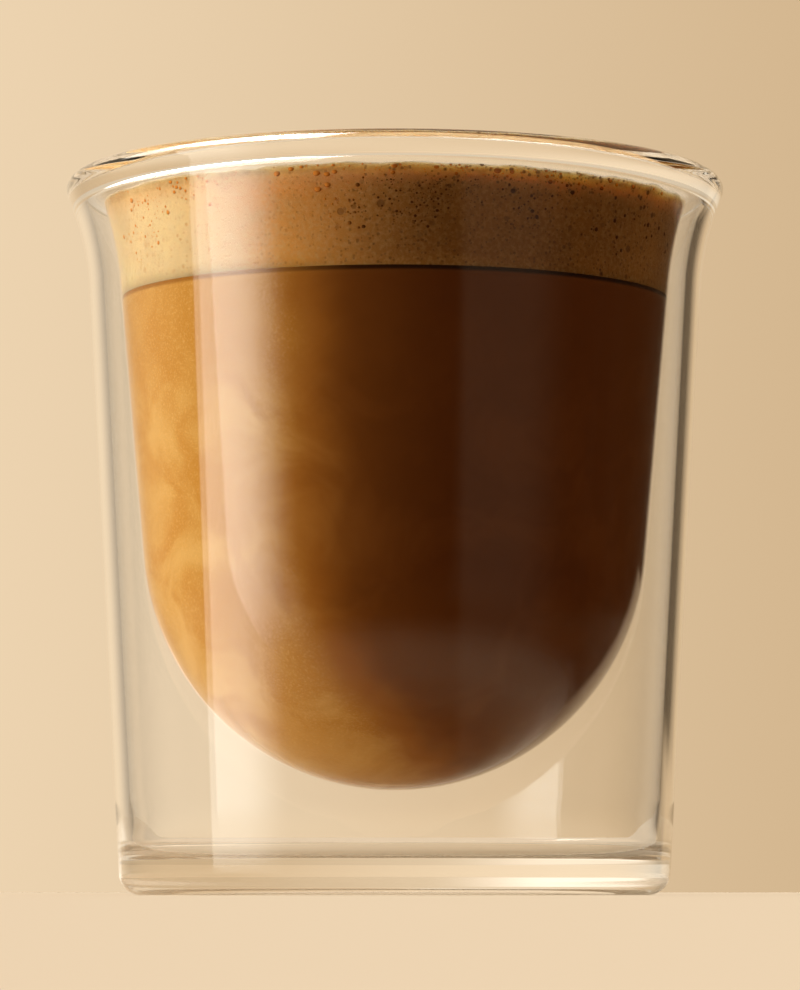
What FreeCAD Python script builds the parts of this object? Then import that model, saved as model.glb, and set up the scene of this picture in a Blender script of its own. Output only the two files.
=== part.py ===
import FreeCAD, Part

import math
import os
from collections import namedtuple

import Sketcher
from FreeCAD import Vector

# An americano in a double-walled glass. An outer wall with a flared rim and a
# hanging bowl with a half-round bottom are fused at the lip and seal a layer of
# air between them. The bowl holds coffee under a thick layer of crema.
# Every piece is round about +Z. The origin is the middle of the foot, on the table.

# name: (value, meaning); lengths in mm, angles in degrees
DIMENSIONS = {
    "overall_height": (92.2, "table to the top of the lip"),
    "rim_diameter": (85.0, "widest part of the lip"),
    "rim_flare": (3.0, "how far the lip stands out past the waist"),
    "flare_depth": (14.0, "top of the lip down to the waist, where both flares start"),
    "lip_radius": (1.5, "rounding of the lip on its outer side"),
    "lip_depth": (2.4, "solid glass above the sealed air"),
    "outer_draft": (3.2, "lean of the outer wall"),
    "outer_wall": (1.9, "thickness of the outer wall"),
    "base_corner": (3.0, "rounding between the outer wall and the foot"),
    "foot_width": (5.3, "flat ring that the glass stands on"),
    "dish_rise": (1.8, "height of the hollow inside that ring"),
    "floor_height": (4.5, "table to the floor of the sealed air"),
    "floor_corner": (2.8, "rounding between that floor and the outer wall"),
    "floor_gap": (8.9, "air under the hanging bowl"),
    "waist_gap": (2.2, "air between the walls at the waist"),
    "bowl_draft": (5.1, "lean of the bowl's wall"),
    "bowl_flare": (48.0, "radius of the bowl's flare above the waist"),
    "inner_wall": (1.7, "thickness of the bowl's wall"),
    "headroom": (3.1, "top of the crema down from the top of the lip"),
    "crema_depth": (12.5, "thickness of the crema"),
    "drink_clearance": (0.02, "drink to the glass that holds it"),
}

# heights and radii that several pieces share, worked out from the sheet
WAIST_HEIGHT = "dims.overall_height - dims.flare_depth"
WAIST_RADIUS = "dims.rim_diameter / 2 - dims.rim_flare"
BOWL_WAIST_RADIUS = (
    f"{WAIST_RADIUS} - dims.outer_wall / cos(dims.outer_draft * 1 deg) - dims.waist_gap"
)
LIP_REACH = "dims.rim_diameter / 2 - dims.lip_radius"
CREMA_BOTTOM = "dims.overall_height - dims.headroom - dims.crema_depth"

# Sketcher's numbers for the points and axes that constraints name
START, END, CENTRE = 1, 2, 3
HORIZONTAL_AXIS, VERTICAL_AXIS = -1, -2
ORIGIN = (-1, 1)

# one edge of a section, with its end points in the direction of drawing
Edge = namedtuple("Edge", "index first last")
Bowl = namedtuple("Bowl", "bottom wall flare")


def make_sheet(doc):
    sheet = doc.addObject("Spreadsheet::Sheet", "dims")
    for row, (name, (value, meaning)) in enumerate(DIMENSIONS.items(), start=1):
        sheet.set(f"A{row}", name)
        sheet.set(f"B{row}", str(value))
        sheet.set(f"C{row}", meaning)
        sheet.setAlias(f"B{row}", name)
    doc.recompute()
    return sheet


class Section:
    """A half-section of a round body: radius along x, height along y."""

    def __init__(self, body, name):
        self.sketch = body.newObject("Sketcher::SketchObject", name)
        plane = next(p for p in body.Origin.OriginFeatures if p.Role == "XZ_Plane")
        self.sketch.AttachmentSupport = [(plane, "")]
        self.sketch.MapMode = "FlatFace"

    def value(self, expression):
        return float(self.sketch.evalExpression(expression))

    def line(self, start, end, construction=False):
        segment = Part.LineSegment(Vector(*start, 0), Vector(*end, 0))
        return Edge(self.sketch.addGeometry(segment, construction), START, END)

    def arc(self, centre, radius, from_angle, to_angle, construction=False):
        """Draws an arc between two angles in degrees, either way round."""
        low, high = sorted((math.radians(from_angle), math.radians(to_angle)))
        circle = Part.Circle(Vector(*centre, 0), Vector(0, 0, 1), radius)
        index = self.sketch.addGeometry(Part.ArcOfCircle(circle, low, high), construction)
        return Edge(index, START, END) if to_angle > from_angle else Edge(index, END, START)

    def rule(self, kind, *references):
        return self.sketch.addConstraint(Sketcher.Constraint(kind, *references))

    def size(self, name, expression, kind, *references):
        """Adds a dimension that the sheet drives."""
        number = self.rule(kind, *references, self.sketch.evalExpression(expression))
        self.sketch.renameConstraint(number, name)
        self.sketch.setExpression(f"Constraints.{name}", expression)

    def smooth(self, *edges):
        """Joins each edge to the next without a corner."""
        for edge, following in zip(edges, edges[1:]):
            self.rule("Tangent", edge.index, edge.last, following.index, following.first)

    def corner(self, edge, following):
        self.rule("Coincident", edge.index, edge.last, following.index, following.first)

    def same_centre(self, arc, other):
        self.rule("Coincident", arc.index, CENTRE, other.index, CENTRE)

    def on_axis(self, edge, point):
        self.rule("PointOnObject", edge.index, point, VERTICAL_AXIS)

    def level(self, name, expression, edge, point):
        self.size(name, expression, "DistanceY", *ORIGIN, edge.index, point)

    def radial(self, name, expression, edge, point):
        self.size(name, expression, "DistanceX", *ORIGIN, edge.index, point)


def revolve(body, section):
    turned = body.newObject("PartDesign::Revolution", body.Name + "_turned")
    turned.Profile = section.sketch
    turned.ReferenceAxis = (section.sketch, ["V_Axis"])
    turned.Angle = 360


def draw_bowl_outside(section, construction):
    """The hanging bowl's outer surface, from its lowest point up to the end of its flare."""
    lean = section.value("dims.bowl_draft")
    sine = math.sin(math.radians(lean))
    cosine = math.cos(math.radians(lean))
    waist_radius = section.value(BOWL_WAIST_RADIUS)
    waist_height = section.value(WAIST_HEIGHT)
    lowest = section.value("dims.floor_height + dims.floor_gap")
    flare_radius = section.value("dims.bowl_flare")
    radius = (cosine * waist_radius - sine * (waist_height - lowest)) / (1 - sine)
    centre = (0, lowest + radius)
    tangent_point = (radius * cosine, lowest + radius - radius * sine)
    waist = (waist_radius, waist_height)
    flare_centre = (waist_radius + flare_radius * cosine, waist_height - flare_radius * sine)

    bottom = section.arc(centre, radius, -90, -lean, construction)
    wall = section.line(tangent_point, waist, construction)
    flare = section.arc(flare_centre, flare_radius, 180 - lean, 180 - 3 * lean, construction)
    section.smooth(bottom, wall, flare)
    section.on_axis(bottom, CENTRE)
    section.on_axis(bottom, bottom.first)
    section.level("bowl_lowest", "dims.floor_height + dims.floor_gap", bottom, bottom.first)
    section.level("bowl_waist_level", WAIST_HEIGHT, wall, wall.last)
    section.radial("bowl_waist_radius", BOWL_WAIST_RADIUS, wall, wall.last)
    section.size("bowl_lean", "90 deg - dims.bowl_draft * 1 deg", "Angle", wall.index)
    section.size("bowl_flare_radius", "dims.bowl_flare", "Radius", flare.index)
    return Bowl(bottom, wall, flare)


def draw_bowl_inside(section, outside, depth):
    """A surface inside the bowl's outer one by the depth, from the flare down to the axis."""
    sketch = section.sketch
    offset = section.value(depth)
    lean = section.value("dims.bowl_draft")
    bottom_arc = sketch.Geometry[outside.bottom.index]
    wall_line = sketch.Geometry[outside.wall.index]
    flare_arc = sketch.Geometry[outside.flare.index]
    inward = Vector(-math.cos(math.radians(lean)), math.sin(math.radians(lean)), 0) * offset
    top = wall_line.EndPoint + inward
    foot = wall_line.StartPoint + inward

    flare = section.arc(
        flare_arc.Center[:2], flare_arc.Radius + offset, 180 - 3 * lean, 180 - lean
    )
    wall = section.line(top[:2], foot[:2])
    bottom = section.arc(bottom_arc.Center[:2], bottom_arc.Radius - offset, -lean, -90)
    section.smooth(flare, wall, bottom)
    section.same_centre(flare, outside.flare)
    section.same_centre(bottom, outside.bottom)
    section.on_axis(bottom, bottom.last)
    section.rule("Parallel", wall.index, outside.wall.index)
    section.size(
        "bowl_depth", depth, "Distance", wall.index, wall.first, outside.wall.index
    )
    return Bowl(bottom, wall, flare)


def draw_lip_inside(section, flare):
    """The lip's broad inner rounding, from its top down into a bowl surface's flare."""
    lip_x = section.value(LIP_REACH)
    lip_top = section.value("dims.overall_height")
    flare_arc = section.sketch.Geometry[flare.index]
    across = flare_arc.Center.x - lip_x
    up = flare_arc.Center.y - lip_top
    radius = (flare_arc.Radius**2 - across**2 - up**2) / (2 * (up + flare_arc.Radius))
    rounding = section.arc((lip_x, lip_top - radius), radius, 90, 160)
    section.smooth(rounding, flare)
    return rounding


def draw_outer_wall(section):
    """The foot, the outer wall and the lip's outer side, from the axis to the lip's top."""
    lean = section.value("dims.outer_draft")
    sine = math.sin(math.radians(lean))
    cosine = math.cos(math.radians(lean))
    dish_rise = section.value("dims.dish_rise")
    corner_radius = section.value("dims.base_corner")
    waist_radius = section.value(WAIST_RADIUS)
    waist_height = section.value(WAIST_HEIGHT)
    lip_radius = section.value("dims.lip_radius")
    lip_x = section.value(LIP_REACH)
    lip_y = section.value("dims.overall_height - dims.lip_radius")

    corner_x = waist_radius - (corner_radius + sine * (waist_height - corner_radius)) / cosine
    dish_radius = corner_x - section.value("dims.foot_width")
    drop = (dish_radius**2 - dish_rise**2) / (2 * dish_rise)
    wall_foot = (corner_x + corner_radius * cosine, corner_radius * (1 - sine))
    across = waist_radius - lip_x
    up = waist_height - lip_y
    flare_radius = (across**2 + up**2 - lip_radius**2) / (
        2 * (lip_radius - cosine * across + sine * up)
    )
    flare_centre = (waist_radius + flare_radius * cosine, waist_height - flare_radius * sine)
    lip_angle = math.degrees(math.atan2(lip_y - flare_centre[1], lip_x - flare_centre[0]))

    dish_edge = math.degrees(math.atan2(drop, dish_radius))
    dish = section.arc((0, -drop), drop + dish_rise, 90, dish_edge)
    foot = section.line((dish_radius, 0), (corner_x, 0))
    corner = section.arc((corner_x, corner_radius), corner_radius, -90, -lean)
    wall = section.line(wall_foot, (waist_radius, waist_height))
    flare = section.arc(flare_centre, flare_radius, 180 - lean, lip_angle)
    lip = section.arc((lip_x, lip_y), lip_radius, lip_angle - 180, 90)
    section.corner(dish, foot)
    section.smooth(foot, corner, wall, flare, lip)

    section.on_axis(dish, CENTRE)
    section.on_axis(dish, dish.first)
    section.level("dish_rise", "dims.dish_rise", dish, dish.first)
    section.rule("Horizontal", foot.index)
    section.size(
        "foot_width", "dims.foot_width", "DistanceX", foot.index, foot.first, foot.index, foot.last
    )
    section.rule("PointOnObject", foot.index, foot.first, HORIZONTAL_AXIS)
    section.size("base_corner", "dims.base_corner", "Radius", corner.index)
    section.size("outer_lean", "90 deg - dims.outer_draft * 1 deg", "Angle", wall.index)
    section.level("waist_level", WAIST_HEIGHT, wall, wall.last)
    section.radial("waist_radius", WAIST_RADIUS, wall, wall.last)
    section.size("lip_radius", "dims.lip_radius", "Radius", lip.index)
    section.radial("lip_reach", LIP_REACH, lip, CENTRE)
    section.level("lip_level", "dims.overall_height - dims.lip_radius", lip, CENTRE)
    section.rule("Vertical", lip.index, CENTRE, lip.index, lip.last)
    return dish, wall, flare, lip


def draw_air(section, outer_wall, outer_flare, bowl):
    """The sealed air's outer boundary, from the end of the bowl's flare to the axis."""
    sketch = section.sketch
    lean = section.value("dims.outer_draft")
    thickness = section.value("dims.outer_wall")
    floor_height = section.value("dims.floor_height")
    corner_radius = section.value("dims.floor_corner")
    wall_line = sketch.Geometry[outer_wall.index]
    flare_arc = sketch.Geometry[outer_flare.index]
    bowl_arc = sketch.Geometry[bowl.flare.index]
    inward = Vector(-math.cos(math.radians(lean)), math.sin(math.radians(lean)), 0) * thickness
    waist = wall_line.EndPoint + inward
    cap_radius = section.value("dims.waist_gap / 2")
    cap_height = section.value("dims.overall_height - dims.lip_depth") - cap_radius
    reach = bowl_arc.Radius - cap_radius
    cap_x = bowl_arc.Center.x - math.sqrt(reach**2 - (cap_height - bowl_arc.Center.y) ** 2)
    corner_x = wall_line.StartPoint.x - thickness - corner_radius

    cap = section.arc((cap_x, cap_height), cap_radius, 180 - 4 * lean, -8 * lean)
    flare = section.arc(
        flare_arc.Center[:2], flare_arc.Radius + thickness, 180 - 7 * lean, 180 - lean
    )
    wall = section.line(waist[:2], (corner_x + corner_radius, floor_height + corner_radius))
    corner = section.arc((corner_x, floor_height + corner_radius), corner_radius, -lean, -90)
    floor = section.line((corner_x, floor_height), (0, floor_height))
    section.smooth(bowl.flare, cap, flare, wall, corner, floor)

    top = sketch.addGeometry(Part.Point(Vector(cap_x, cap_height + cap_radius, 0)), True)
    section.rule("PointOnObject", top, START, cap.index)
    section.rule("Vertical", top, START, cap.index, CENTRE)
    section.size(
        "lip_depth", "dims.overall_height - dims.lip_depth", "DistanceY", *ORIGIN, top, START
    )
    section.same_centre(flare, outer_flare)
    section.rule("Parallel", wall.index, outer_wall.index)
    section.size(
        "outer_wall", "dims.outer_wall", "Distance", wall.index, wall.first, outer_wall.index
    )
    section.size("floor_corner", "dims.floor_corner", "Radius", corner.index)
    section.rule("Horizontal", floor.index)
    section.on_axis(floor, floor.last)
    section.level("floor_level", "dims.floor_height", floor, floor.last)
    return floor


def close_on_axis(section, upper, lower):
    """Runs down the axis from the end of one edge to the start of another."""
    start = section.sketch.getPoint(upper.index, upper.last)
    end = section.sketch.getPoint(lower.index, lower.first)
    axis = section.line(start[:2], end[:2])
    section.corner(upper, axis)
    section.corner(axis, lower)


def make_glass(doc):
    body = doc.addObject("PartDesign::Body", "glass")
    section = Section(body, "glass_section")
    dish, wall, flare, lip = draw_outer_wall(section)
    outside = draw_bowl_outside(section, construction=False)
    inside = draw_bowl_inside(section, outside, "dims.inner_wall")
    rounding = draw_lip_inside(section, inside.flare)
    section.smooth(lip, rounding)
    floor = draw_air(section, wall, flare, outside)
    close_on_axis(section, inside.bottom, outside.bottom)
    close_on_axis(section, floor, dish)
    revolve(body, section)
    return body


def make_drink_space(doc):
    """What the bowl can hold, up to the top of the lip."""
    body = doc.addObject("PartDesign::Body", "drink_space")
    section = Section(body, "drink_section")
    outside = draw_bowl_outside(section, construction=True)
    inside = draw_bowl_inside(section, outside, "dims.inner_wall + dims.drink_clearance")
    rounding = draw_lip_inside(section, inside.flare)
    height = section.value("dims.overall_height")
    lip_x = section.value(LIP_REACH)
    lowest = section.sketch.getPoint(inside.bottom.index, inside.bottom.last)
    middle = section.line(lowest[:2], (0, height))
    surface = section.line((0, height), (lip_x, height))
    section.corner(inside.bottom, middle)
    section.corner(middle, surface)
    section.smooth(surface, rounding)
    section.on_axis(surface, surface.first)
    section.rule("Horizontal", surface.index)
    section.level("surface_level", "dims.overall_height", surface, surface.last)
    section.radial("surface_reach", LIP_REACH, surface, surface.last)
    section.rule(
        "Horizontal", inside.flare.index, inside.flare.first, outside.flare.index, outside.flare.last
    )
    revolve(body, section)
    return body


def make_layer(doc, name, drink_space, bottom, depth):
    """The slice of the drink between two levels."""
    slab = doc.addObject("Part::Cylinder", name + "_slab")
    slab.setExpression("Radius", "dims.rim_diameter / 2")
    slab.setExpression("Height", depth)
    slab.setExpression("Placement.Base.z", bottom)
    layer = doc.addObject("Part::Common", name)
    layer.Base = drink_space
    layer.Tool = slab
    return layer


def check(doc, parts):
    for item in doc.Objects:
        if "Invalid" in item.State or "Error" in item.State:
            raise RuntimeError(f"{item.Label} failed: {item.State}")
        if item.isDerivedFrom("Sketcher::SketchObject") and not item.FullyConstrained:
            raise RuntimeError(f"{item.Label} isn't fully constrained")
    for part in parts:
        if part.Shape.isNull() or not part.Shape.isValid():
            raise RuntimeError(f"{part.Label} has no valid shape")


def main():
    doc = FreeCAD.newDocument("americano")
    make_sheet(doc)
    glass = make_glass(doc)
    drink_space = make_drink_space(doc)
    coffee = make_layer(doc, "coffee", drink_space, "0", CREMA_BOTTOM)
    crema = make_layer(doc, "crema", drink_space, CREMA_BOTTOM, "dims.crema_depth")
    parts = [glass, coffee, crema]
    doc.recompute()
    check(doc, parts)
    os.makedirs("parts", exist_ok=True)
    for part in parts:
        part.Shape.exportStep(f"parts/{part.Label}.step")
        print(f"{part.Label}: {part.Shape.Volume / 1000:.2f} cm3")


main()
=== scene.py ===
import math
import random

import bmesh
import bpy
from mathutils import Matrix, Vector, noise


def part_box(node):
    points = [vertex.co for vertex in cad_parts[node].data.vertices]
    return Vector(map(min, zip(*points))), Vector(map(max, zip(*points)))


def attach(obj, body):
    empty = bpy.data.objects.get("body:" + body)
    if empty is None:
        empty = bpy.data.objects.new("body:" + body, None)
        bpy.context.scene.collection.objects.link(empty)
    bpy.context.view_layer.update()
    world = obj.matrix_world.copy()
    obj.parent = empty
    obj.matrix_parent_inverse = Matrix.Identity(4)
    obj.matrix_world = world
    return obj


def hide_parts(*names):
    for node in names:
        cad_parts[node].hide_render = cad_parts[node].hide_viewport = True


# An americano in a double-walled glass. Outlines are in mm and degrees, under the names
# the CAD gives them, and MM turns them into Blender's metres. Materials are in metres.
MM = 0.001

OVERALL_HEIGHT = 92.2
RIM_DIAMETER = 85.0
RIM_FLARE = 3.0
FLARE_DEPTH = 14.0
LIP_RADIUS = 1.5
LIP_DEPTH = 2.4
OUTER_DRAFT = 3.2
OUTER_WALL = 1.9
BASE_CORNER = 3.0
FOOT_WIDTH = 5.3
DISH_RISE = 1.8
FLOOR_HEIGHT = 4.5
FLOOR_CORNER = 2.8
FLOOR_GAP = 8.9
WAIST_GAP = 2.2
BOWL_DRAFT = 5.1
BOWL_FLARE = 48.0
INNER_WALL = 1.7

INTO_WALL = 0.15  # how far the drink reaches into the bowl's wall

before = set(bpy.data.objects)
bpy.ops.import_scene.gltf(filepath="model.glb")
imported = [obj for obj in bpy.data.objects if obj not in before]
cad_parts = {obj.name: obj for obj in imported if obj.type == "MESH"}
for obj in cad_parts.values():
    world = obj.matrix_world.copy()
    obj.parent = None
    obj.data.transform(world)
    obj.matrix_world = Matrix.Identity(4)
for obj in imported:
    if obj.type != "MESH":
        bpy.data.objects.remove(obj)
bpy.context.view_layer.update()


# ---------------------------------------------------------------- outlines


def arc(centre, radius, start, end, step):
    """Points round a centre from one angle to another, about a step apart in degrees."""
    count = max(2, math.ceil(abs(end - start) / step))
    angles = [math.radians(start + (end - start) * i / count) for i in range(count + 1)]
    return [(centre[0] + radius * math.cos(a), centre[1] + radius * math.sin(a)) for a in angles]


def line(start, end, count):
    """Points between two, without the first and the last."""
    return [
        tuple(s + (e - s) * i / count for s, e in zip(start, end)) for i in range(1, count)
    ]


def towards(centre, point):
    return math.degrees(math.atan2(point[1] - centre[1], point[0] - centre[0]))


WAIST_HEIGHT = OVERALL_HEIGHT - FLARE_DEPTH
WAIST_RADIUS = RIM_DIAMETER / 2 - RIM_FLARE
OUTER_SINE = math.sin(math.radians(OUTER_DRAFT))
OUTER_COSINE = math.cos(math.radians(OUTER_DRAFT))
BOWL_SINE = math.sin(math.radians(BOWL_DRAFT))
BOWL_COSINE = math.cos(math.radians(BOWL_DRAFT))
LIP_X = RIM_DIAMETER / 2 - LIP_RADIUS
BOWL_WAIST_RADIUS = WAIST_RADIUS - OUTER_WALL / OUTER_COSINE - WAIST_GAP
BOWL_LOWEST = FLOOR_HEIGHT + FLOOR_GAP
BOWL_RADIUS = (BOWL_COSINE * BOWL_WAIST_RADIUS - BOWL_SINE * (WAIST_HEIGHT - BOWL_LOWEST)) / (
    1 - BOWL_SINE
)
BOWL_CENTRE = (0, BOWL_LOWEST + BOWL_RADIUS)
BOWL_FLARE_CENTRE = (
    BOWL_WAIST_RADIUS + BOWL_FLARE * BOWL_COSINE,
    WAIST_HEIGHT - BOWL_FLARE * BOWL_SINE,
)
LIP_CENTRE = (LIP_X, OVERALL_HEIGHT - LIP_RADIUS)


def outer_flare():
    """Centre and radius of the outer wall's flare, which touches the lip's rounding."""
    across, up = WAIST_RADIUS - LIP_CENTRE[0], WAIST_HEIGHT - LIP_CENTRE[1]
    radius = (across**2 + up**2 - LIP_RADIUS**2) / (
        2 * (LIP_RADIUS - OUTER_COSINE * across + OUTER_SINE * up)
    )
    return (WAIST_RADIUS + radius * OUTER_COSINE, WAIST_HEIGHT - radius * OUTER_SINE), radius


def lip_rounding(flare_radius):
    """Centre and radius of the lip's inner rounding, which runs into a bowl flare."""
    across, up = BOWL_FLARE_CENTRE[0] - LIP_X, BOWL_FLARE_CENTRE[1] - OVERALL_HEIGHT
    radius = (flare_radius**2 - across**2 - up**2) / (2 * (up + flare_radius))
    return (LIP_X, OVERALL_HEIGHT - radius), radius


def bowl_inside(depth):
    """From the lip's top down the bowl's inner side, a depth inside its outer one, to the axis."""
    flare_radius = BOWL_FLARE + depth
    centre, radius = lip_rounding(flare_radius)
    turn = towards(BOWL_FLARE_CENTRE, centre)
    rounding = arc(centre, radius, 90, turn, 6)
    flare = arc(BOWL_FLARE_CENTRE, flare_radius, turn, 180 - BOWL_DRAFT, 0.8)[1:]
    bottom = arc(BOWL_CENTRE, BOWL_RADIUS - depth, -BOWL_DRAFT, -90, 1.5)
    return rounding + flare + line(flare[-1], bottom[0], 12) + bottom


def glass_skin():
    """The glass's outside, from the middle of its foot over the lip to the bottom of the bowl."""
    flare_centre, flare_radius = outer_flare()
    turn = towards(flare_centre, LIP_CENTRE)
    corner_x = WAIST_RADIUS - (
        BASE_CORNER + OUTER_SINE * (WAIST_HEIGHT - BASE_CORNER)
    ) / OUTER_COSINE
    dish_radius = corner_x - FOOT_WIDTH
    drop = (dish_radius**2 - DISH_RISE**2) / (2 * DISH_RISE)
    dish = arc((0, -drop), drop + DISH_RISE, 90, towards((0, -drop), (dish_radius, 0)), 0.5)
    corner = arc((corner_x, BASE_CORNER), BASE_CORNER, -90, -OUTER_DRAFT, 6)
    flare = arc(flare_centre, flare_radius, 180 - OUTER_DRAFT, turn, 1)
    lip = arc(LIP_CENTRE, LIP_RADIUS, turn - 180, 90, 7)[1:]
    return (
        dish
        + line(dish[-1], corner[0], 4)
        + corner
        + line(corner[-1], flare[0], 24)
        + flare
        + lip
        + bowl_inside(INNER_WALL)[1:]
    )


def cap_of_air(flare_centre, flare_radius):
    """Centre and radius of the rounding that closes the sealed air between the two flares."""
    top = OVERALL_HEIGHT - LIP_DEPTH
    low, high = 0.2, 2.0
    for _ in range(60):
        radius = (low + high) / 2
        y = top - radius
        x = BOWL_FLARE_CENTRE[0] - math.sqrt(
            (BOWL_FLARE - radius) ** 2 - (y - BOWL_FLARE_CENTRE[1]) ** 2
        )
        gap = math.dist((x, y), flare_centre) - flare_radius - radius
        low, high = (radius, high) if gap > 0 else (low, radius)
    return (x, y), radius


def sealed_air():
    """The air between the walls, from the bottom of the bowl over the cap to the floor's middle."""
    flare_centre, flare_radius = outer_flare()
    flare_radius += OUTER_WALL
    cap_centre, cap_radius = cap_of_air(flare_centre, flare_radius)
    bowl_turn = towards(BOWL_FLARE_CENTRE, cap_centre)
    wall_turn = towards(flare_centre, cap_centre)
    corner_x = (
        WAIST_RADIUS
        - (OUTER_WALL + OUTER_SINE * (WAIST_HEIGHT - FLOOR_HEIGHT - FLOOR_CORNER)) / OUTER_COSINE
        - FLOOR_CORNER / OUTER_COSINE
    )
    bottom = arc(BOWL_CENTRE, BOWL_RADIUS, -90, -BOWL_DRAFT, 1.5)
    bowl_flare = arc(BOWL_FLARE_CENTRE, BOWL_FLARE, 180 - BOWL_DRAFT, bowl_turn, 0.8)
    cap = arc(cap_centre, cap_radius, bowl_turn, wall_turn - 180, 8)[1:]
    flare = arc(flare_centre, flare_radius, wall_turn, 180 - OUTER_DRAFT, 1)[1:]
    corner = arc((corner_x, FLOOR_HEIGHT + FLOOR_CORNER), FLOOR_CORNER, -OUTER_DRAFT, -90, 6)
    return (
        bottom
        + line(bottom[-1], bowl_flare[0], 12)
        + bowl_flare
        + cap
        + flare
        + line(flare[-1], corner[0], 24)
        + corner
        + line(corner[-1], (0, FLOOR_HEIGHT), 8)
        + [(0, FLOOR_HEIGHT)]
    )


# ---------------------------------------------------------------- meshes


def turn_outline(mesh, outline, segments, shape=None):
    """Adds the surface of an outline turned about Z; shape may move each point."""
    rings = []
    for radius, height in outline:
        if radius < 1e-6:
            spots = [(0.0, 0.0, height)]
        else:
            angles = [2 * math.pi * i / segments for i in range(segments)]
            spots = [(radius * math.cos(a), radius * math.sin(a), height) for a in angles]
        rings.append([mesh.verts.new(Vector(shape(s) if shape else s) * MM) for s in spots])
    for ring, following in zip(rings, rings[1:]):
        for i in range(segments):
            j = (i + 1) % segments
            corners = [ring[i % len(ring)], ring[j % len(ring)]]
            corners += [following[j % len(following)], following[i % len(following)]]
            mesh.faces.new(list(dict.fromkeys(corners)))
    return rings


def add_object(data, material):
    """A smooth object of this mesh, under the mesh's name."""
    data.polygons.foreach_set("use_smooth", [True] * len(data.polygons))
    data.materials.append(material)
    piece = bpy.data.objects.new(data.name, data)
    bpy.context.scene.collection.objects.link(piece)
    return piece


def finish_mesh(name, mesh, material):
    data = bpy.data.meshes.new(name)
    mesh.to_mesh(data)
    mesh.free()
    return add_object(data, material)


# ---------------------------------------------------------------- nodes


class Nodes:
    """A node tree with short ways to add and join nodes."""

    def __init__(self, tree):
        self.tree = tree
        tree.nodes.clear()

    def add(self, kind, settings=None, **inputs):
        node = self.tree.nodes.new(kind)
        for name, value in (settings or {}).items():
            setattr(node, name, value)
        for name, value in inputs.items():
            self.feed(node.inputs[name.replace("_", " ")], value)
        return node

    def feed(self, socket, value):
        if isinstance(value, bpy.types.NodeSocket):
            self.tree.links.new(value, socket)
        else:
            socket.default_value = value

    def maths(self, operation, *values):
        node = self.tree.nodes.new("ShaderNodeMath")
        node.operation = operation
        for socket, value in zip(node.inputs, values):
            self.feed(socket, value)
        return node.outputs[0]

    def step(self, value, start, end):
        """0 before start, 1 past end, smooth between; start may be the higher."""
        node = self.tree.nodes.new("ShaderNodeMapRange")
        node.interpolation_type = "SMOOTHSTEP"
        self.feed(node.inputs["Value"], value)
        low, high, first, last = (start, end, 0, 1) if start < end else (end, start, 1, 0)
        limits = {"From Min": low, "From Max": high, "To Min": first, "To Max": last}
        for name, number in limits.items():
            node.inputs[name].default_value = number
        return node.outputs[0]

    def mix(self, factor, first, second, blend="MIX"):
        node = self.tree.nodes.new("ShaderNodeMix")
        node.data_type = "RGBA"
        node.blend_type = blend
        self.feed(node.inputs[0], factor)
        self.feed(node.inputs[6], first)
        self.feed(node.inputs[7], second)
        return node.outputs[2]

    def share(self, first, second, factor):
        """A Mix Shader that takes the second shader by a factor."""
        node = self.tree.nodes.new("ShaderNodeMixShader")
        for socket, value in zip(node.inputs, (factor, first, second)):
            self.feed(socket, value)
        return node.outputs[0]

    def all_of(self, *values):
        total = values[0]
        for value in values[1:]:
            total = self.maths("MULTIPLY", total, value)
        return total


def linear(red, green, blue, strength=1.0):
    """A colour from its 0 to 255 numbers as a screen shows it."""
    def one(c):
        c /= 255
        return (c / 12.92 if c <= 0.04045 else ((c + 0.055) / 1.055) ** 2.4) * strength
    return (one(red), one(green), one(blue), 1.0)


def new_material(name):
    material = bpy.data.materials.new(name)
    material.use_nodes = True
    return material, Nodes(material.node_tree)


# ---------------------------------------------------------------- materials


GLASS_INDEX = 1.47
LIP_INDEX_DROP = 0.37
FOOT_INDEX_DROP = 0.34


def glass_material():
    """Clear glass, which bends light less in the lip and the foot, under a coat that keeps their
    gloss, so that they don't pipe the dark drink into view. Lamps shine straight through it."""
    material, nodes = new_material("clear_glass")
    place = nodes.add("ShaderNodeTexCoord").outputs["Object"]
    z = nodes.add("ShaderNodeSeparateXYZ", Vector=place).outputs["Z"]
    lip = nodes.step(z, 0.0884, 0.0904)
    foot = nodes.step(z, 0.0120, 0.0072)
    bending = nodes.maths("MULTIPLY_ADD", foot, -FOOT_INDEX_DROP, GLASS_INDEX)
    bending = nodes.maths("MULTIPLY_ADD", lip, -LIP_INDEX_DROP, bending)
    outside = nodes.maths("SUBTRACT", 1.0, nodes.add("ShaderNodeNewGeometry").outputs["Backfacing"])
    coat = nodes.maths("MULTIPLY", nodes.maths("ADD", lip, foot), outside)
    surface = nodes.add(
        "ShaderNodeBsdfPrincipled",
        Base_Color=(1.0, 1.0, 1.0, 1), Roughness=0.0, IOR=bending, Transmission_Weight=1.0,
        Coat_Weight=coat, Coat_Roughness=0.0, Coat_IOR=GLASS_INDEX,
    ).outputs[0]
    clear = nodes.add("ShaderNodeBsdfTransparent", Color=(0.985, 0.99, 0.98, 1)).outputs[0]
    path = nodes.add("ShaderNodeLightPath")
    for kind in ("Is Diffuse Ray", "Is Shadow Ray"):
        surface = nodes.share(surface, clear, path.outputs[kind])
    nodes.add("ShaderNodeOutputMaterial", Surface=surface)
    return material


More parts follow.
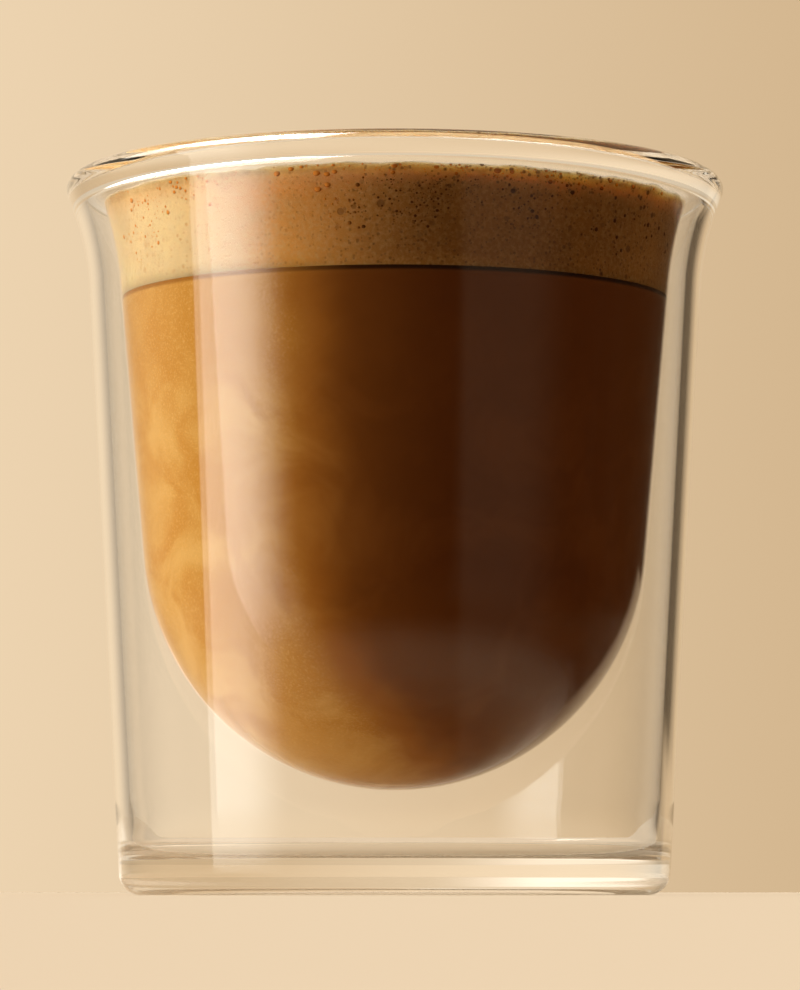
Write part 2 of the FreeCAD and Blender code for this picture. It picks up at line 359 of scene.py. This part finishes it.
def coffee_material():
    """Turbid coffee with paler wisps, dark brown, with its left side painted amber as a glow of light
    coming through it from the left.
    """
    material, nodes = new_material("coffee_liquid")
    place = nodes.add("ShaderNodeTexCoord").outputs["Object"]
    drift = nodes.add("ShaderNodeTexNoise", Vector=place, Scale=55.0, Detail=3.0, Distortion=0.6)
    pull = nodes.add("ShaderNodeVectorMath", {"operation": "SCALE"}, Scale=0.010)
    nodes.feed(pull.inputs[0], drift.outputs["Color"])
    bent = nodes.add("ShaderNodeVectorMath", {"operation": "ADD"})
    nodes.feed(bent.inputs[0], place)
    nodes.feed(bent.inputs[1], pull.outputs[0])
    x, y, z = nodes.add("ShaderNodeSeparateXYZ", Vector=bent.outputs[0]).outputs
    level = nodes.add("ShaderNodeSeparateXYZ", Vector=place).outputs["Z"]

    # painted glow of light from the left that comes through the coffee: how amber it is, on the left,
    # further across from half-way down, and little at the back, which that light doesn't reach
    sunk = nodes.maths("MULTIPLY", nodes.maths("SUBTRACT", 0.041, z), 0.85)
    lean = nodes.maths("SUBTRACT", nodes.maths("MAXIMUM", sunk, 0.0), x)
    unlit_back = nodes.step(y, 0.004, 0.026)
    lit_glow = nodes.step(lean, -0.002, 0.015)
    lit_glow = nodes.maths("MULTIPLY", lit_glow, nodes.maths("MULTIPLY_ADD", unlit_back, -0.92, 1.0))
    clouds = nodes.add(
        "ShaderNodeTexNoise", Vector=bent.outputs[0], Scale=85.0, Detail=5.0, Roughness=0.55,
        Distortion=0.9,
    ).outputs[0]
    clearer = nodes.maths("MULTIPLY_ADD", nodes.step(level, 0.070, 0.056), 0.6, 0.4)
    wisps = nodes.maths("MULTIPLY", nodes.step(clouds, 0.36, 0.72), clearer)
    grain = nodes.add("ShaderNodeTexNoise", Vector=place, Scale=3600.0, Detail=2.0).outputs[0]
    _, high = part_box("coffee")
    # painted shade: a dark line round the coffee's top, under the foam
    shade_line = nodes.step(level, high.z - 0.0007, high.z - 0.0003)

    amber = nodes.mix(wisps, (0.69, 0.36, 0.080, 1), (0.84, 0.54, 0.19, 1))
    speck = nodes.maths("MULTIPLY", nodes.step(grain, 0.48, 0.78), 0.4)
    amber = nodes.mix(speck, amber, (0.95, 0.68, 0.30, 1))
    brown = nodes.mix(wisps, (0.27, 0.096, 0.016, 1), (0.34, 0.128, 0.025, 1))
    russet = nodes.mix(wisps, (0.45, 0.18, 0.030, 1), (0.58, 0.27, 0.060, 1))
    colour = nodes.mix(nodes.step(lit_glow, 0.0, 0.45), brown, russet)
    colour = nodes.mix(nodes.step(lit_glow, 0.35, 1.0), colour, amber)
    # the painted shade line turns orange-brown where the painted glow is
    ring = nodes.mix(lit_glow, (0.05, 0.015, 0.003, 1), (0.50, 0.22, 0.045, 1))
    colour = nodes.mix(shade_line, colour, ring)
    drink = nodes.add(
        "ShaderNodeBsdfPrincipled", Base_Color=colour, Roughness=0.5, Specular_IOR_Level=0.0
    )
    nodes.add("ShaderNodeOutputMaterial", Surface=drink.outputs[0])
    return material


def pores(nodes, place, scale, size, share):
    """Dots of a cell pattern: 1 in the middle of a share of its cells, to a part of their width."""
    cells = nodes.add("ShaderNodeTexVoronoi", Vector=place, Scale=scale, Randomness=1.0)
    chance = nodes.add("ShaderNodeSeparateColor", Color=cells.outputs["Color"]).outputs[0]
    width = nodes.maths("MULTIPLY", nodes.maths("SUBTRACT", chance, 1 - share), size / share)
    depth = nodes.maths("SUBTRACT", width, cells.outputs["Distance"])
    return nodes.step(depth, 0.0, size * 0.35)


def crema_material():
    """Tan foam full of pores, with coarser ones in patches; its side has painted light, pale where
    light comes in, dark where it is in shade.
    """
    material, nodes = new_material("crema_foam")
    place = nodes.add("ShaderNodeTexCoord").outputs["Object"]
    x, y, z = nodes.add("ShaderNodeSeparateXYZ", Vector=place).outputs
    mottle = nodes.add("ShaderNodeTexNoise", Vector=place, Scale=110.0, Detail=6.0, Roughness=0.65)
    patch = nodes.add("ShaderNodeTexNoise", Vector=place, Scale=70.0, Detail=2.0)
    sand = nodes.add("ShaderNodeTexNoise", Vector=place, Scale=1900.0, Detail=2.0, Roughness=0.7)
    fine = pores(nodes, place, 2100.0, 0.52, 0.85)
    middling = pores(nodes, place, 1050.0, 0.44, 0.55)
    large = pores(nodes, place, 640.0, 0.40, 0.30)
    dense = nodes.step(patch.outputs[0], 0.42, 0.62)
    holes = nodes.maths("MULTIPLY", fine, 0.5)
    holes = nodes.maths("MAXIMUM", holes, nodes.all_of(middling, dense, 0.8))
    holes = nodes.maths("MAXIMUM", holes, nodes.all_of(large, dense, 1.0))

    # painted light on the foam's side: pale where light comes in from the left, then orange, then dark
    # brown in shade on the right and towards the back, with a lighter strip at the far right where
    # light catches it
    drift = nodes.maths("MULTIPLY_ADD", mottle.outputs[0], 0.016, -0.008)
    unlit_back = nodes.maths("MULTIPLY", nodes.step(y, 0.006, 0.030), 0.014)
    across = nodes.maths("ADD", nodes.maths("ADD", x, drift), unlit_back)
    side = nodes.mix(nodes.step(across, -0.014, 0.006), (0.92, 0.50, 0.15, 1), (0.47, 0.265, 0.085, 1))
    side = nodes.mix(nodes.step(across, 0.018, 0.034), side, (0.62, 0.37, 0.14, 1))
    side = nodes.mix(nodes.step(across, -0.012, -0.027), side, (0.93, 0.77, 0.51, 1))
    _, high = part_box("crema")
    # painted light: the foam's side lighter just under its top, where light comes down through it
    side = nodes.mix(nodes.step(z, high.z - 0.0035, high.z - 0.0002), side, (0.82, 0.57, 0.30, 1))
    top = nodes.mix(
        nodes.step(mottle.outputs[0], 0.35, 0.68), (0.62, 0.40, 0.19, 1), (0.76, 0.55, 0.31, 1)
    )
    foam = nodes.mix(nodes.step(z, high.z - 0.0012, high.z - 0.0006), side, top)
    lighter = nodes.maths("MULTIPLY_ADD", mottle.outputs[0], 0.7, 0.65)
    grey = nodes.add("ShaderNodeCombineColor", Red=lighter, Green=lighter, Blue=lighter)
    foam = nodes.mix(1.0, foam, grey.outputs[0], "MULTIPLY")
    grains = nodes.maths("MULTIPLY", nodes.step(sand.outputs[0], 0.40, 0.70), 0.35)
    foam = nodes.mix(grains, foam, (0.92, 0.72, 0.42, 1))
    # painted shade in the pores: dark brown, orange-brown towards the lit left, where fewer of them
    # show
    pore_shade = nodes.mix(nodes.step(across, -0.016, 0.002), (0.62, 0.29, 0.08, 1), (0.14, 0.06, 0.02, 1))
    fewer = nodes.maths("MULTIPLY_ADD", nodes.step(across, -0.008, -0.024), -0.55, 1.0)
    colour = nodes.mix(nodes.maths("MULTIPLY", holes, fewer), foam, pore_shade)
    bump = nodes.add("ShaderNodeBump", Strength=0.5, Distance=0.00012)
    nodes.feed(bump.inputs["Height"], nodes.maths("SUBTRACT", 1.0, holes))
    surface = nodes.add(
        "ShaderNodeBsdfPrincipled",
        Base_Color=colour, Roughness=0.55, Specular_IOR_Level=0.15, Normal=bump.outputs[0],
        Subsurface_Weight=nodes.maths("MULTIPLY_ADD", holes, -0.6, 0.6), Subsurface_Scale=0.0035,
    )
    surface.inputs["Subsurface Radius"].default_value = (0.80, 0.66, 0.48)
    nodes.add("ShaderNodeOutputMaterial", Surface=surface.outputs[0])
    return material


def bubble_material():
    """A bubble's wet film: dark down through its top, pale round its foot."""
    material, nodes = new_material("bubble_film")
    shell = nodes.add("ShaderNodeAttribute", {"attribute_name": "height"}).outputs["Fac"]
    colour = nodes.mix(nodes.step(shell, 0.05, 0.75), (0.86, 0.66, 0.40, 1), (0.60, 0.36, 0.16, 1))
    film = nodes.add(
        "ShaderNodeBsdfPrincipled", Base_Color=colour, Roughness=0.12, IOR=1.34, Coat_Weight=0.5,
        Coat_Roughness=0.05,
    )
    nodes.add("ShaderNodeOutputMaterial", Surface=film.outputs[0])
    return material


def pressed_bubble_material():
    """A bubble flat against the glass: an amber window with a darker ring, painted dark as shade right
    of the middle below the foam's lit top band.
    """
    material, nodes = new_material("pressed_bubble")
    across = nodes.add("ShaderNodeAttribute", {"attribute_name": "height"}).outputs["Fac"]
    place = nodes.add("ShaderNodeTexCoord").outputs["Object"]
    x, _, z = nodes.add("ShaderNodeSeparateXYZ", Vector=place).outputs
    # painted shade: bubbles from just left of the middle rightwards, below the foam's lit top band
    in_shade = nodes.all_of(nodes.step(x, -0.009, -0.003), nodes.step(z, 0.0882, 0.0870))
    colour = nodes.mix(nodes.step(across, 0.2, 0.8), (0.58, 0.20, 0.03, 1), (0.90, 0.38, 0.08, 1))
    colour = nodes.mix(in_shade, colour, (0.13, 0.05, 0.012, 1))
    film = nodes.add(
        "ShaderNodeBsdfPrincipled", Base_Color=colour, Roughness=0.5, Specular_IOR_Level=0.0
    )
    nodes.add("ShaderNodeOutputMaterial", Surface=film.outputs[0])
    return material


def has_mirrored(nodes, path):
    """1 for a ray that glass has mirrored once on its way from the camera."""
    return nodes.maths("COMPARE", path.outputs["Glossy Depth"], 1.0, 0.5)


def floor_material():
    """A pale floor. Mirrored rays pass it away from the foot, so that it doesn't whiten the drink."""
    material, nodes = new_material("floor")
    surface = nodes.add(
        "ShaderNodeBsdfPrincipled",
        Base_Color=(0.74, 0.66, 0.55, 1), Roughness=0.7, Specular_IOR_Level=0.0,
    )
    place = nodes.add("ShaderNodeTexCoord").outputs["Object"]
    away = nodes.add("ShaderNodeVectorMath", {"operation": "LENGTH"})
    nodes.feed(away.inputs[0], place)
    far = nodes.step(away.outputs["Value"], 0.040, 0.075)
    clear = nodes.add("ShaderNodeBsdfTransparent")
    mirrored = has_mirrored(nodes, nodes.add("ShaderNodeLightPath"))
    passes = nodes.maths("MULTIPLY", mirrored, far)
    mixed = nodes.share(surface.outputs[0], clear.outputs[0], passes)
    nodes.add("ShaderNodeOutputMaterial", Surface=mixed)
    return material


# ---------------------------------------------------------------- pieces


GLASS_SEGMENTS = 264
COFFEE_SEGMENTS = 192
CREMA_SEGMENTS = 360
DRINK_SIDE = list(reversed(bowl_inside(INNER_WALL - INTO_WALL)))


def make_glass():
    mesh = bmesh.new()
    turn_outline(mesh, glass_skin(), GLASS_SEGMENTS)
    turn_outline(mesh, sealed_air(), GLASS_SEGMENTS)
    piece = finish_mesh("clear_glass", mesh, glass_material())
    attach(piece, "root")
    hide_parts("glass")


def drink_outline(bottom, top):
    """The bowl's inner side between two heights, from low to high, just inside the wall."""
    kept = []
    for first, second in zip(DRINK_SIDE, DRINK_SIDE[1:]):
        for level in (bottom, top):
            if first[1] < level < second[1]:
                share = (level - first[1]) / (second[1] - first[1])
                kept.append((first[0] + share * (second[0] - first[0]), level))
        if bottom <= second[1] <= top:
            kept.append(second)
    return kept


def make_coffee():
    _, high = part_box("coffee")
    top = high.z / MM
    mesh = bmesh.new()
    side = [(0.0, BOWL_LOWEST + INNER_WALL - INTO_WALL)] + drink_outline(0, top)
    turn_outline(mesh, side + line(side[-1], (0, top), 6) + [(0.0, top)], COFFEE_SEGMENTS)
    piece = finish_mesh("coffee_liquid", mesh, coffee_material())
    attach(piece, "root")
    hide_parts("coffee")


def reach_at(height):
    """How far out the drink goes at a height."""
    for first, second in zip(DRINK_SIDE, DRINK_SIDE[1:]):
        if first[1] <= height <= second[1]:
            share = (height - first[1]) / (second[1] - first[1])
            return first[0] + share * (second[0] - first[0])
    raise ValueError(f"no wall at {height}")


def foam_rise(x, y, reach):
    """How far the foam's top stands over its level: it climbs the wall and is a little uneven."""
    spot = Vector((x, y, 0))
    gap = max(0.0, reach - math.hypot(x, y))
    climb = (0.75 + 0.45 * noise.noise(spot * 0.25)) * math.exp(-gap / 0.6)
    waves = 0.22 * noise.noise(spot * 0.11) + 0.12 * noise.noise(spot * 0.37)
    grit = 0.05 * noise.noise(spot * 1.3) + 0.03 * noise.noise(spot * 2.9)
    return climb + waves + grit - 0.45


def make_crema():
    low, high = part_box("crema")
    bottom, top = low.z / MM, high.z / MM
    edge = reach_at(top)
    blend = 1.6  # how far down the foam's side its uneven top still moves it

    def shape(spot):
        x, y, z = spot
        share = (z - (top - blend)) / blend
        if share <= 0:
            return spot
        z += min(share, 1.0) ** 2 * foam_rise(x, y, edge)
        radius = math.hypot(x, y)
        if radius < edge - 1.0 and share >= 1:
            return (x, y, z)
        scale = 1 + (reach_at(z) - reach_at(spot[2])) / max(radius, 1)
        return (x * scale, y * scale, z)

    mesh = bmesh.new()
    side = drink_outline(bottom, top)
    lower = [p for p in side if p[1] < top - blend]
    upper = [(reach_at(top - blend * (1 - i / 8)), top - blend * (1 - i / 8)) for i in range(9)]
    outline = [(0.0, bottom)] + line((0, bottom), side[0], 6) + lower + upper
    inner = (edge - 2.4, top)
    outline += line(upper[-1], inner, 14) + [inner] + line(inner, (0, top), 80) + [(0.0, top)]
    turn_outline(mesh, outline, CREMA_SEGMENTS, shape)
    piece = finish_mesh("crema_foam", mesh, crema_material())
    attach(piece, "root")
    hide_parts("crema")
    return top, edge


def ball(rings, segments):
    """A unit ball's points and faces."""
    points = [(0, 0, 1)]
    for i in range(1, rings):
        turn = math.pi * i / rings
        for j in range(segments):
            a = 2 * math.pi * j / segments
            points.append((math.sin(turn) * math.cos(a), math.sin(turn) * math.sin(a), math.cos(turn)))
    points.append((0, 0, -1))
    faces = [(0, 1 + j, 1 + (j + 1) % segments) for j in range(segments)]
    for i in range(rings - 2):
        start = 1 + i * segments
        for j in range(segments):
            k = (j + 1) % segments
            faces.append((start + j, start + segments + j, start + segments + k, start + k))
    start = 1 + (rings - 2) * segments
    faces += [(start + j, len(points) - 1, start + (j + 1) % segments) for j in range(segments)]
    return points, faces


def make_bubbles(name, bubbles, material, rings, segments):
    """Balls at centres, each with three half-axes; height tells how far along the last a point is."""
    points, faces = ball(rings, segments)
    spots, corners, heights = [], [], []
    for centre, axes in bubbles:
        start = len(spots)
        for point in points:
            moved = Vector(centre)
            for axis, amount in zip(axes, point):
                moved += axis * amount
            spots.append(moved * MM)
            heights.append(max(0.0, point[2]))
        corners += [tuple(start + c for c in face) for face in faces]
    data = bpy.data.meshes.new(name)
    data.from_pydata(spots, [], corners)
    data.attributes.new("height", "FLOAT", "POINT").data.foreach_set("value", heights)
    piece = add_object(data, material)
    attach(piece, "root")


def top_bubbles(top, edge):
    """Domes on the foam: a broken ring along the wall, and clusters out on the top."""
    chance = random.Random(11)
    placed = []

    def free(x, y, size):
        return all(math.hypot(x - a, y - b) > 0.85 * (size + c) for a, b, c in placed)

    for _ in range(900):
        size = 0.16 + 0.5 * chance.random() ** 2.2
        turn = chance.uniform(0, 2 * math.pi)
        if noise.noise(Vector((math.cos(turn) * 2.1, math.sin(turn) * 2.1, 5.0))) < -0.12:
            continue
        radius = edge - size * chance.uniform(0.95, 1.5) - 0.1
        x, y = radius * math.cos(turn), radius * math.sin(turn)
        if free(x, y, size):
            placed.append((x, y, size))
    for _ in range(2600):
        size = 0.12 + 0.55 * chance.random() ** 3.5
        radius, turn = (edge - 1.2) * math.sqrt(chance.random()), chance.uniform(0, 2 * math.pi)
        x, y = radius * math.cos(turn), radius * math.sin(turn)
        crowd = noise.noise(Vector((x, y, 3.0)) * 0.09) + 0.5 * noise.noise(Vector((x, y, 9.0)) * 0.3)
        if crowd > 0.16 and free(x, y, size):
            placed.append((x, y, size))
    bubbles = []
    for x, y, size in placed:
        height = top + foam_rise(x, y, edge) + size * 0.12
        axes = (Vector((size, 0, 0)), Vector((0, size, 0)), Vector((0, 0, size * 0.78)))
        bubbles.append(((x, y, height), axes))
    return bubbles


# coarse bubbles along the foam's edge: turn from the front, depth below the top, radius
SHOWN_BUBBLES = [
    (-63, 1.4, 0.45), (-52, 0.9, 0.26), (-51, 4.0, 0.34), (-23, 0.8, 0.46), (-20, 0.3, 0.44),
    (-15, 1.0, 0.46), (-13, 1.2, 0.38), (-15, 3.0, 0.42), (-13, 2.5, 0.38), (0, 0.3, 0.42),
    (8, 0.4, 0.34), (20, 0.5, 0.54), (23, 0.6, 0.36), (46, 0.3, 0.40), (53, 0.5, 0.34),
    (64, 0.4, 0.34),
]
# patches of small ones: turn and depth of the middle, their spreads, number
PORE_CLUSTERS = [
    (4, 4.2, 5.5, 1.4, 120), (-9, 5.0, 3.5, 1.2, 30), (26, 5.5, 7, 1.8, 36), (-52, 3.2, 6, 1.6, 10),
    (100, 4.0, 12, 1.5, 60), (170, 3.5, 9, 1.5, 60), (-120, 4.2, 12, 1.5, 60),
]


def side_bubbles(top):
    """Bubbles in the foam that press flat against the bowl's wall, most of them near the top."""
    chance = random.Random(4)
    bubbles, placed = [], []

    def press(turn, depth, size):
        height = top - max(depth, size * 0.6)
        around = reach_at(height)
        if any(
            math.hypot((turn - t) * around, height - h) < 1.1 * (size + c) for t, h, c in placed
        ):
            return
        placed.append((turn, height, size))
        out = Vector((math.cos(turn), math.sin(turn), 0))
        along = Vector((-math.sin(turn), math.cos(turn), 0))
        up = Vector((out.x * 0.1, out.y * 0.1, 1)).normalized()
        centre = out * (around - 0.03) + Vector((0, 0, height))
        stretch = chance.uniform(0.9, 1.12)
        bubbles.append((centre, (along * size * stretch, up * size, out * 0.08)))

    for turn, depth, size in SHOWN_BUBBLES:
        press(math.radians(turn - 90), depth, size)
    for middle, low, spread, height, number in PORE_CLUSTERS:
        for _ in range(number):
            turn = math.radians(chance.gauss(middle, spread) - 90)
            press(turn, max(0.8, chance.gauss(low, height)), 0.06 + 0.13 * chance.random() ** 2.5)
    for _ in range(3600):
        turn = chance.uniform(-math.pi, math.pi)
        depth = 9.5 * chance.random() ** 1.7
        size = 0.06 + 0.30 * chance.random() ** 5
        crowd = noise.noise(Vector((math.cos(turn) * 3.2, math.sin(turn) * 3.2, depth * 0.22)))
        if crowd + 0.25 * (1 - depth / 5) > 0.12:
            press(turn, depth, size)
    return bubbles


# ---------------------------------------------------------------- stage, light, camera


def make_floor():
    mesh = bmesh.new()
    half = 3.0
    corners = [(-half, -half), (half, -half), (half, half), (-half, half)]
    mesh.faces.new([mesh.verts.new((x, y, 0)) for x, y in corners])
    floor = finish_mesh("floor", mesh, floor_material())
    floor.visible_diffuse = False  # so that it doesn't light the drink from below
    floor.visible_shadow = False


def make_world():
    world = bpy.data.worlds.new("studio")
    bpy.context.scene.world = world
    world.use_nodes = True
    nodes = Nodes(world.node_tree)
    way = nodes.add("ShaderNodeTexCoord").outputs["Generated"]
    x, y, z = nodes.add("ShaderNodeSeparateXYZ", Vector=way).outputs
    azimuth = nodes.maths("DEGREES", nodes.maths("ARCTAN2", x, nodes.maths("MULTIPLY", y, -1)))
    height = nodes.maths("DEGREES", nodes.maths("ARCSINE", z))

    def panel(left, right, low, high, soft_left=3, soft_right=3, soft_low=6, soft_high=6):
        """Where a panel stands, in degrees round from the front and up, with soft edges."""
        return nodes.all_of(
            nodes.step(azimuth, left - soft_left, left + soft_left),
            nodes.step(azimuth, right + soft_right, right - soft_right),
            nodes.step(height, low - soft_low, low + soft_low),
            nodes.step(height, high + soft_high, high - soft_high),
        )

    def lamp(mask, colour, strength):
        return nodes.mix(mask, (0, 0, 0, 1), tuple(c * strength for c in colour) + (1,))

    def total(first, *others):
        for other in others:
            first = nodes.mix(1.0, first, other, "ADD")
        return first

    # the backdrop, paler towards the key light
    right = nodes.step(x, -0.16, 0.16)
    backdrop = nodes.mix(right, linear(240, 215, 180), linear(208, 178, 138))

    # what shows through the glass: the backdrop, and a bright side that the walls bend into view
    glow = panel(-160, -62, -90, 90, 10, 8)
    through = nodes.mix(1.0, backdrop, (1.12, 1.12, 1.12, 1), "MULTIPLY")
    through = nodes.mix(glow, through, (1.0, 0.86, 0.66, 1))

    # what falls on the drink and the floor
    key = lamp(panel(-112, -74, -20, 42, 8, 8, 6, 8), (1.0, 0.84, 0.62), 6)
    bounce = lamp(panel(-125, -50, -70, -20, 15, 15, 12, 6), (1.0, 0.62, 0.3), 1.5)
    top = lamp(nodes.step(height, 74, 80), (1.0, 0.92, 0.80), 15)
    fill = lamp(nodes.step(azimuth, -70, -10), (1.0, 0.41, 0.06), 0.11)
    right_fill = lamp(nodes.step(azimuth, 40, 80), (1.0, 0.72, 0.40), 0.10)
    falls = total(key, bounce, top, fill, right_fill)

    # what the glass mirrors: dark in front, so that the drink keeps its depth
    shade = (0.022, 0.012, 0.006, 1)
    dark = nodes.mix(nodes.step(y, 0.0, 0.3), (0.02, 0.014, 0.009, 1), backdrop)
    shaded = panel(-150, -80, -14, 11, 10, 3, 6, 2)
    dark = nodes.mix(nodes.maths("MULTIPLY", shaded, 0.7), dark, (0.05, 0.03, 0.015, 1))
    under = nodes.mix(nodes.step(y, 0.0, 0.4), (0.06, 0.036, 0.014, 1), (0.17, 0.10, 0.045, 1))
    flag = panel(141, 156, 0.4, 13, 3, 4, 0.4, 3)
    dark = nodes.mix(flag, dark, shade)
    dark = nodes.mix(nodes.step(height, -14, -30), dark, under)
    dark = nodes.mix(nodes.step(height, -45, -62), dark, (0.30, 0.20, 0.12, 1))
    dark = nodes.mix(nodes.step(height, 20, 38), dark, linear(225, 205, 175))
    dark = nodes.mix(panel(92, 146, -60, 12, 6, 4, 6, 2), dark, shade)
    veil = lamp(panel(-80, -54, -36, 60, 0.6, 12, soft_low=22), (0.95, 0.95, 0.88), 3.1)
    band = lamp(panel(26, 62, -30, 60, 2, 12), (1.0, 0.72, 0.45), 0.11)
    side = lamp(panel(-112, -86, 18, 60, 4, 2), (1.0, 0.95, 0.85), 6.0)
    spark = lamp(panel(-100, -30, 32, 72, 6, 6), (1.0, 0.97, 0.90), 40.0)
    glint = lamp(panel(-176, -160, -5, -0.4, 3, 4, 1, 0.8), (1.0, 0.97, 0.90), 0.45)
    mirrored = total(dark, veil, band, side, spark, glint)

    path = nodes.add("ShaderNodeLightPath")
    seen = nodes.maths("MAXIMUM", path.outputs["Is Camera Ray"], path.outputs["Is Glossy Ray"])
    seen = nodes.maths("MAXIMUM", seen, path.outputs["Is Transmission Ray"])
    colour = nodes.mix(has_mirrored(nodes, path), through, mirrored)
    colour = nodes.mix(path.outputs["Is Camera Ray"], colour, backdrop)
    colour = nodes.mix(seen, falls, colour)
    light = nodes.add("ShaderNodeBackground", Color=colour, Strength=1.0)
    nodes.add("ShaderNodeOutputWorld", Surface=light.outputs[0])
    world.cycles.sampling_method = "MANUAL"
    world.cycles.sample_map_resolution = 1024


# the photograph's view: from just over the table, a little upwards, through a long lens
CAMERA_PLACE = (0.00068, -0.577, 0.0004)
CAMERA_TILT = 5.05114
CAMERA_LENS = 163.273
SENSOR = 36
NEAREST = 0.002


def make_camera():
    data = bpy.data.cameras.new("camera")
    camera = bpy.data.objects.new("camera", data)
    bpy.context.scene.collection.objects.link(camera)
    data.sensor_width = SENSOR
    data.lens = CAMERA_LENS
    data.clip_start = NEAREST
    camera.location = CAMERA_PLACE
    camera.rotation_euler = (math.radians(90 + CAMERA_TILT), 0, 0)
    bpy.context.scene.camera = camera


make_camera()
make_world()
make_floor()
make_glass()
make_coffee()
foam_top, foam_edge = make_crema()
make_bubbles("foam_bubbles", top_bubbles(foam_top, foam_edge), bubble_material(), 6, 12)
make_bubbles("pressed_bubbles", side_bubbles(foam_top), pressed_bubble_material(), 4, 12)
bpy.context.scene.view_settings.view_transform = "Standard"

# enough for light that runs round inside the lip
BOUNCES = 40
bpy.context.scene.cycles.max_bounces = BOUNCES
bpy.context.scene.cycles.transmission_bounces = BOUNCES
bpy.context.scene.cycles.glossy_bounces = BOUNCES
